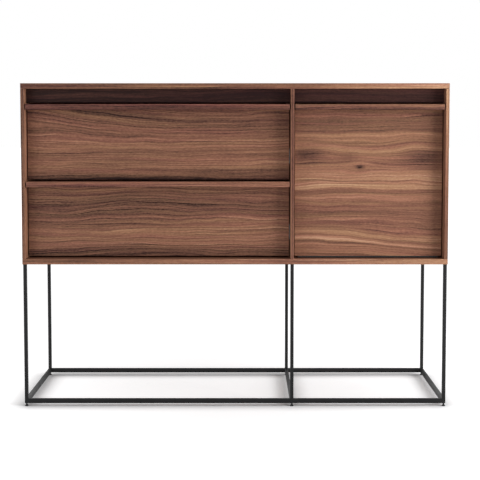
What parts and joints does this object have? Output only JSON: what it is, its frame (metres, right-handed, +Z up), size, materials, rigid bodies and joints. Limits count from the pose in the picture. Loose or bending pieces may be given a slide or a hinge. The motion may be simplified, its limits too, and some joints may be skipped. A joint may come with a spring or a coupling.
{
  "type": "console cabinet",
  "caption": "Walnut console case on a slender black steel base, with wide drawers on telescopic runners, a drop-front compartment and a finger recess under the top.",
  "frame": {"origin": "on the floor, under the middle of the case", "axes": "+X to the right as seen from the front, -Y out of the fronts, +Z up"},
  "size_m": [1.27, 0.406, 0.969],
  "materials": {
    "walnut_case": "oiled veneer, satin",
    "walnut_front": "oiled veneer, satin",
    "birch_box": "clear lacquer",
    "black_frame": "satin powder coat",
    "zinc_fitting": "zinc plated",
    "blackened_steel": "chemically blackened",
    "black_plastic": "moulded"
  },
  "bodies": {
    "cabinet": {"top_panel": "walnut_case", "bottom_panel": "walnut_case", "left_side_panel": "walnut_case", "right_side_panel": "walnut_case", "divider_panel": "walnut_case", "back_panel": "walnut_case", "recess_board": "walnut_case", "leg_front_left": "black_frame", "leg_front_middle": "black_frame", "leg_front_right": "black_frame", "leg_back_left": "black_frame", "leg_back_middle": "black_frame", "leg_back_right": "black_frame", "rail_front": "black_frame", "rail_back": "black_frame", "rail_left": "black_frame", "rail_middle": "black_frame", "rail_right": "black_frame", "foot_front_left": "black_plastic", "foot_front_middle": "black_plastic", "foot_front_right": "black_plastic", "foot_back_left": "black_plastic", "foot_back_middle": "black_plastic", "foot_back_right": "black_plastic", "upper_runner_left_cabinet": "zinc_fitting", "upper_runner_right_cabinet": "zinc_fitting", "lower_runner_left_cabinet": "zinc_fitting", "lower_runner_right_cabinet": "zinc_fitting", "hinge_case_leaf": "blackened_steel", "stay_stud_left": "zinc_fitting", "stay_stud_right": "zinc_fitting", "magnet_catch": "black_plastic"},
    "upper_drawer": {"upper_drawer_front_panel": "walnut_front", "upper_drawer_front_lip": "walnut_front", "upper_drawer_side_left": "birch_box", "upper_drawer_side_right": "birch_box", "upper_drawer_back": "birch_box", "upper_drawer_bottom": "birch_box", "upper_runner_left_drawer": "zinc_fitting", "upper_runner_right_drawer": "zinc_fitting"},
    "upper_left_slide_member": {"upper_runner_left_middle": "zinc_fitting"},
    "upper_right_slide_member": {"upper_runner_right_middle": "zinc_fitting"},
    "lower_drawer": {"lower_drawer_front_panel": "walnut_front", "lower_drawer_front_lip": "walnut_front", "lower_drawer_side_left": "birch_box", "lower_drawer_side_right": "birch_box", "lower_drawer_back": "birch_box", "lower_drawer_bottom": "birch_box", "lower_runner_left_drawer": "zinc_fitting", "lower_runner_right_drawer": "zinc_fitting"},
    "lower_left_slide_member": {"lower_runner_left_middle": "zinc_fitting"},
    "lower_right_slide_member": {"lower_runner_right_middle": "zinc_fitting"},
    "drop_front": {"door_panel": "walnut_front", "door_lip": "walnut_front", "hinge_door_leaf": "blackened_steel", "stay_bracket_left": "zinc_fitting", "stay_bracket_right": "zinc_fitting", "catch_strike": "zinc_fitting"},
    "left_stay": {"stay_arm_left": "zinc_fitting"},
    "right_stay": {"stay_arm_right": "zinc_fitting"}
  },
  "joints": [
    {"name": "upper_drawer_slide", "type": "slide", "parent": "cabinet", "child": "upper_drawer", "axis": [0, -1, 0], "range_m": [0, 0.3]},
    {"name": "upper_left_member_slide", "type": "slide", "parent": "cabinet", "child": "upper_left_slide_member", "axis": [0, -1, 0], "range_m": [0, 0.15]},
    {"name": "upper_right_member_slide", "type": "slide", "parent": "cabinet", "child": "upper_right_slide_member", "axis": [0, -1, 0], "range_m": [0, 0.15]},
    {"name": "lower_drawer_slide", "type": "slide", "parent": "cabinet", "child": "lower_drawer", "axis": [0, -1, 0], "range_m": [0, 0.3]},
    {"name": "lower_left_member_slide", "type": "slide", "parent": "cabinet", "child": "lower_left_slide_member", "axis": [0, -1, 0], "range_m": [0, 0.15]},
    {"name": "lower_right_member_slide", "type": "slide", "parent": "cabinet", "child": "lower_right_slide_member", "axis": [0, -1, 0], "range_m": [0, 0.15]},
    {"name": "drop_front_hinge", "type": "hinge", "parent": "cabinet", "child": "drop_front", "pos_m": [0.40025, -0.17, 0.44875], "axis": [1, 0, 0], "range_deg": [0, 90]},
    {"name": "left_stay_pivot", "type": "hinge", "parent": "drop_front", "child": "left_stay", "pos_m": [0.183, -0.142, 0.62656], "axis": [1, 0, 0], "range_deg": [-45, 0]},
    {"name": "right_stay_pivot", "type": "hinge", "parent": "drop_front", "child": "right_stay", "pos_m": [0.6175, -0.142, 0.62656], "axis": [1, 0, 0], "range_deg": [-45, 0]}
  ],
  "couplings": [
    {"joint": "upper_left_member_slide", "follows": "upper_drawer_slide", "ratio": 0.5},
    {"joint": "upper_right_member_slide", "follows": "upper_drawer_slide", "ratio": 0.5},
    {"joint": "lower_left_member_slide", "follows": "lower_drawer_slide", "ratio": 0.5},
    {"joint": "lower_right_member_slide", "follows": "lower_drawer_slide", "ratio": 0.5},
    {"joint": "left_stay_pivot", "follows": "drop_front_hinge", "ratio": -0.5},
    {"joint": "right_stay_pivot", "follows": "drop_front_hinge", "ratio": -0.5}
  ]
}
